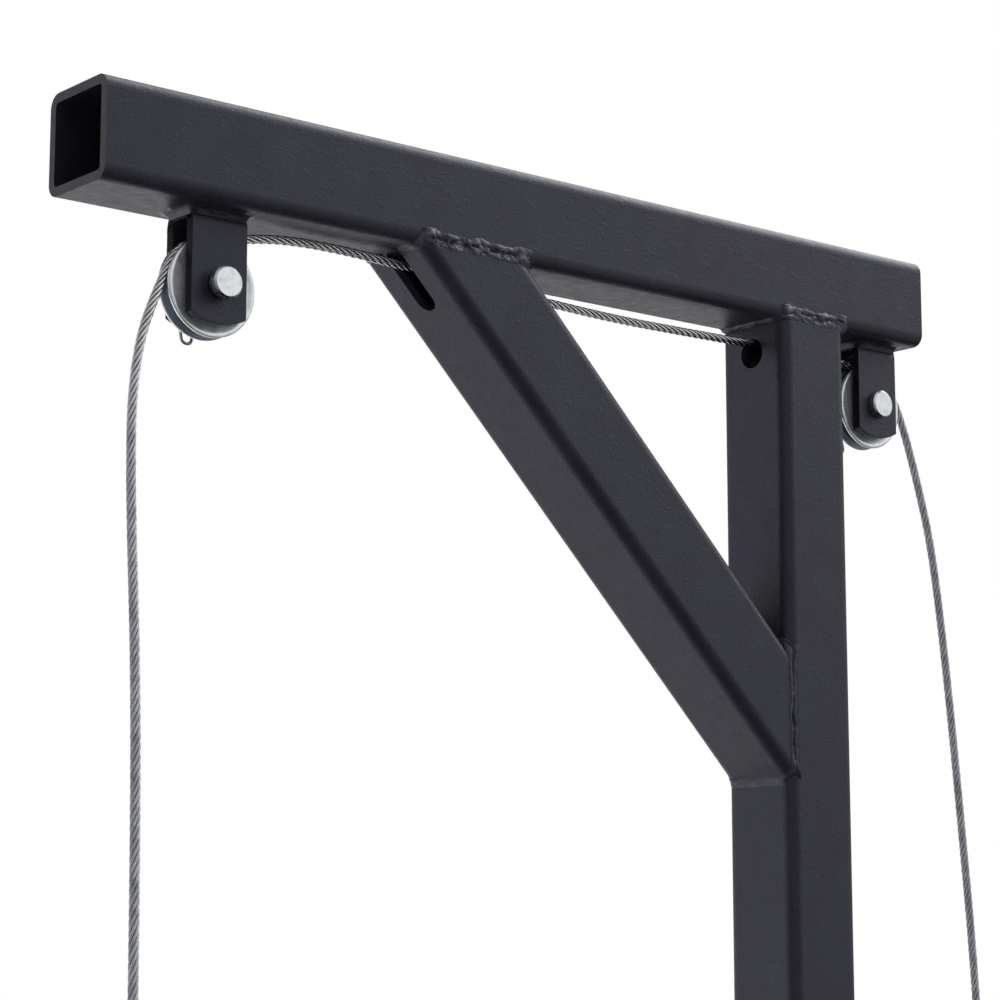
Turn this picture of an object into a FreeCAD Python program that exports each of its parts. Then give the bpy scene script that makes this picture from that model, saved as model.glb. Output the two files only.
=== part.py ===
"""Mast-head pulley arm: a square-tube beam on a short post with a 45 degree brace,
two clevis-mounted sheaves under the beam, and a wire rope over both sheaves.

Frame: millimetres, +X along the beam, +Y from the front face to the back, +Z up.
The origin is the centre of the cross-pin hole near the post's lower end.
"""
import FreeCAD, Part
import math
import os

V = FreeCAD.Vector
os.makedirs("parts", exist_ok=True)

# ---- frame tubes: 2 x 2 x 3/16 in ------------------------------------------------
TUBE = 50.8
WALL = 4.76
CORNER_R = 7.0
INNER_R = CORNER_R - WALL
HALF = TUBE / 2
POST_BELOW_PIN = 50.8           # post's lower end, below the cross-pin
POST_ABOVE_PIN = 431.8          # post's upper end, where the beam rests
BEAM_LEFT = -467.5
BEAM_LENGTH = 558.8
BRACE_LEG = 258.0               # brace's outer face, along the beam and down the post
BEAM_Z = POST_ABOVE_PIN + HALF
UNDERSIDE = POST_ABOVE_PIN
MAST_PIN_R = 8.25               # hole for a 5/8 in hitch pin

# ---- rope and its passages -------------------------------------------------------
ROPE_D = 4.76
ROPE_R = ROPE_D / 2
POST_HOLE_R = 8.4
POST_HOLE_Z = UNDERSIDE - 16.8
SLOT_R = 6.25
LOWER_SLOT = (5.0, 31.2)        # slot's arc centres along the brace's lower face
UPPER_SLOT = (57.0, 75.0)       # and along its upper face

# ---- sheave, pin and bracket -----------------------------------------------------
SHEAVE_X = {"left": -394.5, "right": 67.0}
SHEAVE_Z = UNDERSIDE - 36.6
GROOVE_R = 20.4
SHEAVE_R = 24.6
HUB_HALF = 5.6
BUSH_R = 8.5
PIN_R = 6.35
PIN_RUN = 0.05                  # bush to pin, radial
PIN_HOLE_R = 6.55
EAR_T = 4.76
EAR_GAP = 12.7
BRACKET_W = 31.75
BRACKET_HALF_Y = EAR_GAP / 2 + EAR_T
BEND_R = 6.2
EAR_CORNER_DROP = 15.2          # ear's lower corners, below the pin's axis
EAR_TIP_DROP = 19.3             # lowest point of the ear's arc
HEAD_R = 8.0
HEAD_T = 4.3
PIN_LENGTH = 34.9
CROSS_HOLE_FROM_HEAD = 30.5
CROSS_HOLE_R = 1.25
PIN_PLAY = {"left": 4.3, "right": 0.6}   # head's stand-off from the front ear
WASHER_R = 12.0
WASHER_T = 1.8
CLIP_R = 0.8
EDGE_BREAK = 0.9                # chamfer on the pin's head and tip
TOUCH = 0.05                    # gap between faces that rest on each other

# ---- weld beads ------------------------------------------------------------------
BEAD_R = 4.6
BRACKET_BEAD_R = 3.4

# ---- rope route ------------------------------------------------------------------
# The span meets each drop between that sheave's bracket ears. The drops start there,
# go round their sheaves and hang down to the rope's ends.
LEFT_DROP = [(-384.6, 0, 420.9), (-393.7, 0, 419.0), (-402.9, 0, 417.0), (-409.2, 0, 413.4),
             (-414.1, 0, 407.9), (-417.9, 0, 399.4), (-423.5, 0, 387.3), (-431.0, 0, 366.5),
             (-435.3, -1, 338.0), (-438.3, -6, 305.0), (-442.3, -15, 267.0),
             (-448.4, -29, 222.0), (-455.3, -43, 172.0), (-462.5, -56, 117.0),
             (-467.0, -64, 68.0), (-468.0, -66, 32.0)]
SPAN = [(-384.6, 0, 420.9), (-372.0, 0, 423.5), (-355.0, 0, 426.4), (-330.0, 0, 427.8),
        (-294.0, 0, 427.0), (-246.5, 0, 424.3), (-190.5, 0, 421.7), (-130.5, 0, 419.5),
        (-75.5, 0, 419.9), (-27.0, 0, 420.6), (5.0, 0, 420.5), (27.0, 0, 420.1),
        (42.0, 0, 419.6), (53.0, 0, 419.1)]
RIGHT_DROP = [(53.0, 0, 419.1), (62.3, 0, 418.6), (70.9, 0, 418.1), (76.2, 0, 416.6),
              (81.4, 0, 413.5), (88.6, 0, 408.6), (96.2, 0, 398.6), (105.5, 0, 375.6),
              (113.7, 0, 351.5), (122.3, 0, 322.0), (128.2, 0, 288.0), (134.6, 0, 240.0),
              (140.6, 0, 185.0), (146.6, 0, 126.0), (151.2, 0, 78.0), (154.0, 0, 32.0)]

# ---- rope ends -------------------------------------------------------------------
FERRULE_H = 18.0
LEG_HALF = 2.7                  # half the spacing of the two legs in the ferrule
FERRULE_WALL = 1.7
TAIL = 5.0                      # rope's cut end, above the ferrule
EYE_R = 10.5                    # rope's centre line round the thimble
EYE_DROP = 26.0                 # eye's centre, below the ferrule
THIMBLE_IN_R = 7.0
THIMBLE_HALF_Y = 3.4
THIMBLE_OUT_R = 11.4
THIMBLE_GROOVE_R = 2.45

# ---- snap hook -------------------------------------------------------------------
HOOK_R = 3.0
HOOK_TOP_HALF = 8.8
HOOK_LOW_HALF = 12.0
HOOK_H = 64.0
NOSE_DROP = 13.0
PIVOT_DROP = 48.0
GATE_R = 3.2
GATE_PIN_R = 1.25
TANG_HALF = 1.3                 # body's tang, between the gate's fork cheeks
TANG_DEPTH = 4.2
FORK_HALF = 1.6
GATE_BORE_R = 1.9
HOOK_BENDS = {1: 5.0, 2: 5.0, 3: 40.0, 4: 11.5, 5: 11.5}   # radius at each inner corner
ACROSS = 8.0                    # reach of a cut that clears the hook's bar
SPRING_R = 1.5
SPRING_PITCH = 1.6
SPRING_RINGS = 10


def save(name, shape):
    shape.exportStep("parts/%s.step" % name)
    box = shape.BoundBox
    print("%-20s %s solids %d volume %.1f  x %.1f..%.1f y %.1f..%.1f z %.1f..%.1f" % (
        name, shape.isValid(), len(shape.Solids), shape.Volume, box.XMin, box.XMax,
        box.YMin, box.YMax, box.ZMin, box.ZMax))


def cylinder(radius, start, end):
    start, end = V(*start), V(*end)
    return Part.makeCylinder(radius, (end - start).Length, start, end - start)


def box(low, high):
    low, high = V(*low), V(*high)
    size = high - low
    return Part.makeBox(size.x, size.y, size.z, low)


def fuse(shapes):
    return shapes[0].multiFuse(shapes[1:]).removeSplitter() if len(shapes) > 1 else shapes[0]


# ---- tubes -----------------------------------------------------------------------
def rounded_bar(side, length, radius):
    """Square bar along +X from the origin, with its long edges rounded."""
    bar = box((0, -side / 2, -side / 2), (length, side / 2, side / 2))
    long_edges = [e for e in bar.Edges if abs(e.tangentAt(e.FirstParameter).x) > 0.99]
    return bar.makeFillet(radius, long_edges)


def tube_along_x(length):
    hollow = rounded_bar(TUBE - 2 * WALL, length + 2, INNER_R)
    hollow.translate(V(-1, 0, 0))
    return rounded_bar(TUBE, length, CORNER_R).cut(hollow)


def place_beam(shape):
    shape.translate(V(BEAM_LEFT, 0, BEAM_Z))
    return shape


def place_post(shape):
    shape.rotate(V(0, 0, 0), V(0, 1, 0), -90)
    shape.translate(V(0, 0, -POST_BELOW_PIN))
    return shape


def place_brace(shape):
    """From the brace's own frame (x down its length, z = 0 on its lower face)."""
    shape.rotate(V(0, 0, 0), V(0, 1, 0), 45)
    shape.translate(V(-HALF - BRACE_LEG, 0, UNDERSIDE))
    return shape


POST_LENGTH = POST_BELOW_PIN + POST_ABOVE_PIN
BRACE_RUN = BRACE_LEG * math.sqrt(2)


def make_beam():
    return place_beam(tube_along_x(BEAM_LENGTH))


def make_post():
    post = place_post(tube_along_x(POST_LENGTH))
    post = post.cut(cylinder(POST_HOLE_R, (-HALF - 1, 0, POST_HOLE_Z), (HALF + 1, 0, POST_HOLE_Z)))
    return post.cut(cylinder(MAST_PIN_R, (0, -HALF - 1, 0), (0, HALF + 1, 0)))


def slot_cutter(centres, z_low, z_high):
    """Round-ended slot in the brace's own frame, cut across its wall."""
    first, last = centres
    ends = [cylinder(SLOT_R, (x, 0, z_low), (x, 0, z_high)) for x in centres]
    return fuse(ends + [box((first, -SLOT_R, z_low), (last, SLOT_R, z_high))])


def make_brace():
    brace = tube_along_x(BRACE_RUN + 2 * TUBE)
    brace.translate(V(-TUBE, 0, HALF))
    brace = brace.cut(slot_cutter(LOWER_SLOT, -2, WALL + 2))
    brace = brace.cut(slot_cutter(UPPER_SLOT, TUBE - WALL - 2, TUBE + 2))
    brace = place_brace(brace)
    above_beam = box((BEAM_LEFT - 200, -60, UNDERSIDE), (200, 60, UNDERSIDE + 200))
    inside_post = box((-HALF, -60, -200), (200, 60, UNDERSIDE + 200))
    return brace.cut(above_beam).cut(inside_post)


def tube_envelopes():
    """The three tubes' outer bars, which the weld beads are trimmed against."""
    beam = place_beam(rounded_bar(TUBE, BEAM_LENGTH, CORNER_R))
    post = place_post(rounded_bar(TUBE, POST_LENGTH, CORNER_R))
    brace = rounded_bar(TUBE, BRACE_RUN + 2 * TUBE, CORNER_R)
    brace.translate(V(-TUBE, 0, HALF))
    return beam, post, place_brace(brace)


# ---- weld beads ------------------------------------------------------------------
def bead(runs, radius, envelopes):
    shape = fuse([cylinder(radius, start, end) for start, end in runs])
    for envelope in envelopes:
        shape = shape.cut(envelope)
    return shape


EDGE_Y = HALF - 3.0             # bead centre over a flush pair of rounded corners
SIDE_Y = HALF - 4.5


def weld_beam_post(envelopes):
    beam, post, _ = envelopes
    z = UNDERSIDE + 0.8
    runs = [((-HALF + 1, y, z), (HALF - 1, y, z)) for y in (-EDGE_Y, EDGE_Y)]
    for x in (-HALF - 1.0, HALF + 1.0):
        runs.append(((x, -SIDE_Y, UNDERSIDE - 1), (x, SIDE_Y, UNDERSIDE - 1)))
    return bead(runs, BEAD_R, (beam, post))


def weld_beam_brace(envelopes):
    beam, _, brace = envelopes
    left = -HALF - BRACE_LEG
    right = left + TUBE * math.sqrt(2)
    z = UNDERSIDE + 0.8
    runs = [((left + 1, y, z), (right - 1, y, z)) for y in (-EDGE_Y, EDGE_Y)]
    clear_of_slot = SLOT_R + 1.5
    for x in (left - 1.5, right + 2.5):
        for side in (-1, 1):
            runs.append(((x, side * clear_of_slot, UNDERSIDE - 1.2),
                         (x, side * SIDE_Y, UNDERSIDE - 1.2)))
    return bead(runs, BEAD_R, (beam, brace))


def weld_brace_post(envelopes):
    _, post, brace = envelopes
    low = UNDERSIDE - BRACE_LEG
    high = low + TUBE * math.sqrt(2)
    x = -HALF + 0.8
    runs = [((x, y, low + 1), (x, y, high - 1)) for y in (-EDGE_Y, EDGE_Y)]
    for z in (low - 1.5, high + 2.5):
        runs.append(((-HALF - 1.2, -SIDE_Y, z), (-HALF - 1.2, SIDE_Y, z)))
    return bead(runs, BEAD_R, (post, brace))


# ---- sheave brackets -------------------------------------------------------------
def bracket_blank():
    """Bent U strap round the sheave, centred on x = 0, with its ears cut to an arc."""
    tip = SHEAVE_Z - EAR_TIP_DROP
    outer = box((-BRACKET_W / 2, -BRACKET_HALF_Y, tip - 5),
                (BRACKET_W / 2, BRACKET_HALF_Y, UNDERSIDE))
    top_edges = [e for e in outer.Edges if abs(e.tangentAt(e.FirstParameter).x) > 0.99
                 and e.CenterOfMass.z > UNDERSIDE - 1]
    outer = outer.makeFillet(BEND_R, top_edges)
    inner = box((-BRACKET_W, -EAR_GAP / 2, tip - 6), (BRACKET_W, EAR_GAP / 2, UNDERSIDE - EAR_T))
    inner_edges = [e for e in inner.Edges if abs(e.tangentAt(e.FirstParameter).x) > 0.99
                   and e.CenterOfMass.z > UNDERSIDE - EAR_T - 1]
    inner = inner.makeFillet(BEND_R - EAR_T, inner_edges)
    sagitta = EAR_TIP_DROP - EAR_CORNER_DROP
    half = BRACKET_W / 2
    arc_r = (half * half + sagitta * sagitta) / (2 * sagitta)
    keep = cylinder(arc_r, (0, -BRACKET_HALF_Y - 1, tip + arc_r), (0, BRACKET_HALF_Y + 1, tip + arc_r))
    keep = keep.fuse(box((-half - 1, -BRACKET_HALF_Y - 1, SHEAVE_Z),
                         (half + 1, BRACKET_HALF_Y + 1, UNDERSIDE + 1)))
    return outer.cut(inner).common(keep)


def make_bracket(x):
    bracket = bracket_blank()
    reach = BRACKET_HALF_Y + 1
    bracket = bracket.cut(cylinder(PIN_HOLE_R, (0, -reach, SHEAVE_Z), (0, reach, SHEAVE_Z)))
    bracket.translate(V(x, 0, 0))
    return bracket


def weld_bracket(x, beam):
    half = BRACKET_W / 2
    runs = [((x - half, y, UNDERSIDE - 1.6), (x + half, y, UNDERSIDE - 1.6))
            for y in (-BRACKET_HALF_Y + 1.2, BRACKET_HALF_Y - 1.2)]
    end_y = BRACKET_HALF_Y - 1.2
    for end_x in (x - half - 0.6, x + half + 0.6):
        runs.append(((end_x, -end_y, UNDERSIDE - 0.8), (end_x, end_y, UNDERSIDE - 0.8)))
    strap = box((x - half, -BRACKET_HALF_Y, UNDERSIDE - BEND_R),
                (x + half, BRACKET_HALF_Y, UNDERSIDE))
    corners = [e for e in strap.Edges if abs(e.tangentAt(e.FirstParameter).x) > 0.99
               and e.CenterOfMass.z > UNDERSIDE - 1]
    strap = strap.makeFillet(BEND_R - 0.01, corners)
    below = box((x - half - 9, -BRACKET_HALF_Y + 0.01, UNDERSIDE - 40),
                (x + half + 9, BRACKET_HALF_Y - 0.01, UNDERSIDE - EAR_T + 0.4))
    return bead(runs, BRACKET_BEAD_R, (beam, strap, below))


# ---- sheave, bush, pin, washer, clip ---------------------------------------------
def turned(points, x, arc_at=None):
    """Solid of revolution about the sheave's axis from (radius, y) points.
    arc_at = (index, (radius, y)) makes the edge after that point an arc through the middle."""
    corners = [V(r, y, 0) for r, y in points]
    edges = []
    for i, start in enumerate(corners):
        end = corners[(i + 1) % len(corners)]
        if arc_at and i == arc_at[0]:
            edges.append(Part.Arc(start, V(arc_at[1][0], arc_at[1][1], 0), end).toShape())
        else:
            edges.append(Part.LineSegment(start, end).toShape())
    solid = Part.Face(Part.Wire(edges)).revolve(V(0, 0, 0), V(0, 1, 0), 360)
    solid.translate(V(x, 0, SHEAVE_Z))
    return solid


def make_sheave(x):
    groove_r = 2.6
    groove_centre = GROOVE_R + groove_r
    mouth = groove_r + (SHEAVE_R - groove_centre) * math.tan(math.radians(15))
    side = [(BUSH_R, HUB_HALF), (12.0, HUB_HALF), (12.9, 4.5), (20.4, 4.6), (22.4, 5.0),
            (24.1, 5.2), (SHEAVE_R, 4.7), (SHEAVE_R, mouth), (groove_centre, groove_r)]
    mirrored = [(r, -y) for r, y in reversed(side)]
    return turned(side + mirrored, x, (len(side) - 1, (GROOVE_R, 0)))


def make_bush(x):
    bore = PIN_R + PIN_RUN
    return turned([(bore, -HUB_HALF), (BUSH_R, -HUB_HALF), (BUSH_R, HUB_HALF), (bore, HUB_HALF)], x)


def head_face(side):
    """y of the underside of the pin's head."""
    return -BRACKET_HALF_Y - PIN_PLAY[side]


def cross_hole_y(side):
    return head_face(side) + CROSS_HOLE_FROM_HEAD


def make_pin(side):
    x, under = SHEAVE_X[side], head_face(side)
    tip = under + PIN_LENGTH
    pin = turned([(0, under - HEAD_T), (HEAD_R - EDGE_BREAK, under - HEAD_T),
                  (HEAD_R, under - HEAD_T + EDGE_BREAK), (HEAD_R, under), (PIN_R, under),
                  (PIN_R, tip - EDGE_BREAK), (PIN_R - EDGE_BREAK, tip), (0, tip)], x)
    y = cross_hole_y(side)
    return pin.cut(cylinder(CROSS_HOLE_R, (x, y, SHEAVE_Z - 10), (x, y, SHEAVE_Z + 10)))


def make_washer(x):
    low = BRACKET_HALF_Y + TOUCH
    bore = PIN_R + 0.3
    return turned([(bore, low), (WASHER_R, low), (WASHER_R, low + WASHER_T),
                   (bore, low + WASHER_T)], x)


def make_clip(side):
    """Hairpin clip: a straight leg through the pin, an eye below it and a sprung leg
    that hugs the pin's side."""
    x, y = SHEAVE_X[side], cross_hole_y(side)
    hug = PIN_R + CLIP_R + 0.15
    outline = [(0, 12.5), (0, -17.0), (1.2, -19.5), (1.2, -24.0), (-3.8, -24.0), (-3.8, -18.5),
               (-hug, -8.0), (-hug, 4.5), (-2.6, 9.6), (-4.6, 13.5)]
    points = [V(x + dx, y, SHEAVE_Z + dz) for dx, dz in outline]
    return tube_along(points, CLIP_R)[0]


# ---- paths with rounded corners --------------------------------------------------
def rounded_edges(points, report=None):
    """Straight runs joined by tangent arcs: each arc's radius is 0.45 of the shorter
    run over the tangent of half the turn."""
    edges = []
    cursor = points[0]
    for before, corner, after in zip(points, points[1:], points[2:]):
        run_in, run_out = corner - before, after - corner
        u, w = V(run_in).normalize(), V(run_out).normalize()
        turn = u.getAngle(w)
        reach = 0.45 * min(run_in.Length, run_out.Length)
        radius = reach / math.tan(turn / 2)
        start, end = corner - u * reach, corner + w * reach
        inward = (w - u).normalize()
        middle = corner + inward * (math.hypot(reach, radius) - radius)
        edges.append(Part.LineSegment(cursor, start).toShape())
        edges.append(Part.Arc(start, middle, end).toShape())
        cursor = end
        if report is not None:
            report.append(radius)
    edges.append(Part.LineSegment(cursor, points[-1]).toShape())
    return edges


def sweep_disc(edges, radius):
    path = Part.Wire(edges)
    start = edges[0].valueAt(edges[0].FirstParameter)
    direction = edges[0].tangentAt(edges[0].FirstParameter)
    disc = Part.Wire(Part.makeCircle(radius, start, direction))
    return path.makePipeShell([disc], True, False, 2), path.Length


def tube_along(points, radius, report=None):
    return sweep_disc(rounded_edges(points, report=report), radius)


# ---- wire rope -------------------------------------------------------------------
def make_rope(name, route):
    radii = []
    tube, length = tube_along([V(*point) for point in route], ROPE_R, radii)
    ratio = tube.Volume / (math.pi * ROPE_R ** 2 * length)
    print("%s: length %.1f, radii %s, volume ratio %.4f" % (
        name, length, [round(r) for r in radii], ratio))
    return tube


# ---- rope ends: ferrule, eye and thimble -----------------------------------------
def make_ferrule(end):
    """Pressed sleeve with two rope legs, hanging from the rope's end point."""
    centre_x = end[0] + LEG_HALF
    radius = ROPE_R + FERRULE_WALL
    low, high = end[2] - FERRULE_H, end[2]
    sides = [cylinder(radius, (centre_x + s * LEG_HALF, end[1], low),
                      (centre_x + s * LEG_HALF, end[1], high)) for s in (-1, 1)]
    middle = box((centre_x - LEG_HALF, end[1] - radius, low), (centre_x + LEG_HALF, end[1] + radius, high))
    sleeve = fuse(sides + [middle])
    rims = [e for e in sleeve.Edges if abs(e.BoundBox.ZLength) < 0.01]
    return sleeve.makeFillet(0.8, rims)


def eye_outline(end, radius, z_top, half_top):
    """Edges of a teardrop: two legs from z_top, tangent to a circle below."""
    centre = V(end[0] + LEG_HALF, end[1], end[2] - FERRULE_H - EYE_DROP)
    rise = z_top - centre.z
    span = math.hypot(half_top, rise)
    tangent = math.atan2(rise, -half_top) + math.acos(radius / span)
    left = V(centre.x + radius * math.cos(tangent), end[1], centre.z + radius * math.sin(tangent))
    right = V(2 * centre.x - left.x, end[1], left.z)
    top_left = V(centre.x - half_top, end[1], z_top)
    top_right = V(centre.x + half_top, end[1], z_top)
    bottom = V(centre.x, end[1], centre.z - radius)
    return top_left, left, bottom, right, top_right


def eye_edges(outline):
    top_left, left, bottom, right, top_right = outline
    return [Part.LineSegment(top_left, left).toShape(), Part.Arc(left, bottom, right).toShape(),
            Part.LineSegment(right, top_right).toShape()]


def make_eye(end):
    """Rope round the thimble, and its tail above the ferrule."""
    outline = eye_outline(end, EYE_R, end[2] - FERRULE_H, LEG_HALF)
    loop, _ = sweep_disc(eye_edges(outline), ROPE_R)
    trim = box((end[0] - 40, end[1] - 20, end[2] - FERRULE_H), (end[0] + 40, end[1] + 20, end[2] + 9))
    tail_x = end[0] + 2 * LEG_HALF
    tail = cylinder(ROPE_R, (tail_x, end[1], end[2]), (tail_x, end[1], end[2] + TAIL))
    return Part.makeCompound([loop.cut(trim), tail])


def teardrop_prism(end, radius, z_top, half_top, half_y):
    outline = eye_outline(end, radius, z_top, half_top)
    edges = eye_edges(outline) + [Part.LineSegment(outline[4], outline[0]).toShape()]
    face = Part.Face(Part.Wire(edges))
    face.translate(V(0, -half_y, 0))
    return face.extrude(V(0, 2 * half_y, 0))


def make_thimble(end):
    top = end[2] - FERRULE_H - 4.0
    body = teardrop_prism(end, THIMBLE_OUT_R, top, 3.0, THIMBLE_HALF_Y)
    inside = teardrop_prism(end, THIMBLE_IN_R, top - 8.5, 0.9, THIMBLE_HALF_Y + 1)
    outline = eye_outline(end, EYE_R, end[2] - FERRULE_H, LEG_HALF)
    groove, _ = sweep_disc(eye_edges(outline), THIMBLE_GROOVE_R)
    thimble = body.cut(inside).cut(groove)
    return max(thimble.Solids, key=lambda s: s.Volume)


# ---- snap hook -------------------------------------------------------------------
def hook_frame(end):
    """Hook's hinge point: the middle of its top bar, resting in the thimble."""
    z = end[2] - FERRULE_H - EYE_DROP - THIMBLE_IN_R + HOOK_R + 0.3
    return V(end[0] + LEG_HALF, end[1], z)


def across_pivot(pivot, radius, reach):
    """Cylinder along the gate's pivot."""
    return cylinder(radius, (pivot.x - reach, pivot.y, pivot.z), (pivot.x + reach, pivot.y, pivot.z))


def gate_direction():
    rise = PIVOT_DROP - NOSE_DROP
    lean = HOOK_LOW_HALF - HOOK_TOP_HALF
    length = math.hypot(rise, lean)
    return V(0, -lean / length, rise / length), length


def make_hook_body(origin):
    top, low = HOOK_TOP_HALF, HOOK_LOW_HALF
    pairs = [(top, -NOSE_DROP), (top, 0), (-top, 0), (-low, -PIVOT_DROP / 2), (-low, -HOOK_H),
             (low, -HOOK_H), (low, -PIVOT_DROP)]
    points = [origin + V(0, y, z) for y, z in pairs]
    edges = []
    cursor = points[0]
    for i in range(1, len(points) - 1):
        u = V(points[i] - points[i - 1]).normalize()
        w = V(points[i + 1] - points[i]).normalize()
        half_turn = u.getAngle(w) / 2
        bend = HOOK_BENDS[i]
        reach = bend * math.tan(half_turn)
        start, end = points[i] - u * reach, points[i] + w * reach
        middle = points[i] + V(w - u).normalize() * (bend / math.cos(half_turn) - bend)
        if (start - cursor).Length > 0.01:
            edges.append(Part.LineSegment(cursor, start).toShape())
        edges.append(Part.Arc(start, middle, end).toShape())
        cursor = end
    edges.append(Part.LineSegment(cursor, points[-1]).toShape())
    body, _ = sweep_disc(edges, HOOK_R)
    pivot = points[-1]
    knuckle = Part.makeSphere(HOOK_R, pivot)
    body = body.fuse(knuckle).removeSplitter()
    for side in (-1, 1):
        near, far = sorted((side * TANG_HALF, side * ACROSS))
        body = body.cut(box((origin.x + near, pivot.y - ACROSS, pivot.z - TANG_DEPTH),
                            (origin.x + far, pivot.y + ACROSS, pivot.z + ACROSS)))
    return body.cut(across_pivot(pivot, GATE_PIN_R, ACROSS))


def make_gate(origin):
    """Hollow gate, forked over the body's tang."""
    pivot = origin + V(0, HOOK_LOW_HALF, -PIVOT_DROP)
    direction, length = gate_direction()
    tip = pivot + direction * (length - 0.5)
    gate = Part.makeCylinder(GATE_R, (tip - pivot).Length, pivot, direction)
    gate = gate.fuse(Part.makeSphere(GATE_R, pivot)).removeSplitter()
    fork = box((origin.x - FORK_HALF, pivot.y - ACROSS, pivot.z - ACROSS),
               (origin.x + FORK_HALF, pivot.y + ACROSS, pivot.z + 4.0))
    bore = Part.makeCylinder(GATE_BORE_R, 20, pivot + direction * 3.6, direction)
    gate = gate.cut(fork).cut(bore)
    return gate.cut(across_pivot(pivot, GATE_PIN_R + TOUCH, ACROSS))


def make_gate_pin(origin):
    return across_pivot(origin + V(0, HOOK_LOW_HALF, -PIVOT_DROP), GATE_PIN_R, GATE_R)


def make_gate_spring(origin):
    """Closing spring inside the gate, as rings that touch a thin core."""
    pivot = origin + V(0, HOOK_LOW_HALF, -PIVOT_DROP)
    direction, _ = gate_direction()
    first = 5.0
    core = Part.makeCylinder(0.5, SPRING_PITCH * (SPRING_RINGS - 1), pivot + direction * first,
                             direction)
    rings = [Part.makeCylinder(SPRING_R, 0.6, pivot + direction * (first + SPRING_PITCH * i),
                               direction) for i in range(SPRING_RINGS)]
    return fuse([core] + rings)


# ---- build -----------------------------------------------------------------------
def main():
    save("beam_tube", make_beam())
    save("post_tube", make_post())
    save("brace_tube", make_brace())
    envelopes = tube_envelopes()
    save("beam_post_weld", weld_beam_post(envelopes))
    save("beam_brace_weld", weld_beam_brace(envelopes))
    save("brace_post_weld", weld_brace_post(envelopes))
    for side, x in SHEAVE_X.items():
        save(side + "_bracket", make_bracket(x))
        save(side + "_bracket_weld", weld_bracket(x, envelopes[0]))
        save(side + "_sheave", make_sheave(x))
        save(side + "_sheave_bush", make_bush(x))
        save(side + "_clevis_pin", make_pin(side))
        save(side + "_pin_washer", make_washer(x))
        save(side + "_pin_clip", make_clip(side))
    for name, route in (("rope_span", SPAN), ("rope_left_drop", LEFT_DROP),
                        ("rope_right_drop", RIGHT_DROP)):
        save(name, make_rope(name, route))
    for side, end in (("left", LEFT_DROP[-1]), ("right", RIGHT_DROP[-1])):
        save(side + "_ferrule", make_ferrule(end))
        save(side + "_rope_eye", make_eye(end))
        save(side + "_thimble", make_thimble(end))
    hook = hook_frame(LEFT_DROP[-1])
    save("snap_hook_body", make_hook_body(hook))
    save("snap_gate", make_gate(hook))
    save("snap_gate_pin", make_gate_pin(hook))
    save("snap_gate_spring", make_gate_spring(hook))


main()
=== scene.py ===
"""Looks of the mast-head pulley arm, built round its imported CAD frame.

Everything is in metres in the frame's own axes: +X along the beam, -Y to the front, +Z up.
"""

import math

import bmesh
import bpy
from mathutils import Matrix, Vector, noise
from mathutils.kdtree import KDTree


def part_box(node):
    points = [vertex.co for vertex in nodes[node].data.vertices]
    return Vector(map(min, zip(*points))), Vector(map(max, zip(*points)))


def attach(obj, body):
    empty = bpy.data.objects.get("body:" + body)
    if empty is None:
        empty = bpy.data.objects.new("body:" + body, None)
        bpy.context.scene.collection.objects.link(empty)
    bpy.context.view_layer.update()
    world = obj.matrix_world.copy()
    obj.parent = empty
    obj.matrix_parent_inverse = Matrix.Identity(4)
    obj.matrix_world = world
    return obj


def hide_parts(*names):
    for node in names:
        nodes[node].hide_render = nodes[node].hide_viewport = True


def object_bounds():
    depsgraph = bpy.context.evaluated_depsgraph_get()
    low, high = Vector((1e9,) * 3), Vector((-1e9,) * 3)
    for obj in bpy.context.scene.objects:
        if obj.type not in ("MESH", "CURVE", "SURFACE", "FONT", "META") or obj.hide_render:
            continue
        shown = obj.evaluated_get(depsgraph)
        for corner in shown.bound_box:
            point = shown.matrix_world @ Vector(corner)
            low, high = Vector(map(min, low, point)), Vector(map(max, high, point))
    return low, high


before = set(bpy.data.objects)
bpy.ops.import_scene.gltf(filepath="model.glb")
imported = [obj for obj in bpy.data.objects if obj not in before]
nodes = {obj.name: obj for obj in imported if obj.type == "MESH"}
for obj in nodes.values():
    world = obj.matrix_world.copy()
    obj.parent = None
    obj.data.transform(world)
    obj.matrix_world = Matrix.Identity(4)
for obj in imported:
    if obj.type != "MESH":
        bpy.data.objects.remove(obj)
cad_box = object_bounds()
MM = 0.001

# ---- sizes that the pieces share --------------------------------------------------
TUBE_HALF = 25.4 * MM
WALL = 4.76 * MM
BEAM_LOW, BEAM_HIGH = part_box("beam_tube")
UNDERSIDE = BEAM_LOW.z
ROPE_R = 2.38 * MM
ROPE_LAY = 28 * MM              # length of one turn of a strand
STRAND_R = 0.76 * MM
STRAND_RING = ROPE_R - STRAND_R  # strand centres from the rope's centre line
WIRE_R = 0.253 * MM
WIRE_LAY = 9.4 * MM             # one turn of a wire in its strand, laid the other way
WIRE_RELIEF = 0.16              # how much of the wires' full depth shows in a strand
SHEAVE = {}                     # each sheave's centre
for side in ("left", "right"):
    low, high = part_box(side + "_sheave")
    SHEAVE[side] = (low + high) / 2


# ---- camera -----------------------------------------------------------------------
def make_camera():
    data = bpy.data.cameras.new("camera")
    data.sensor_width = 36
    data.lens = 96.0
    data.shift_x = -0.0012
    data.shift_y = -0.0026
    camera = bpy.data.objects.new("camera", data)
    camera.location = (-1.0825, -1.0505, 0.0905)
    camera.rotation_euler = (math.radians(90 + 9.255), 0, math.radians(-39.693))
    bpy.context.scene.collection.objects.link(camera)
    bpy.context.scene.camera = camera


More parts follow.
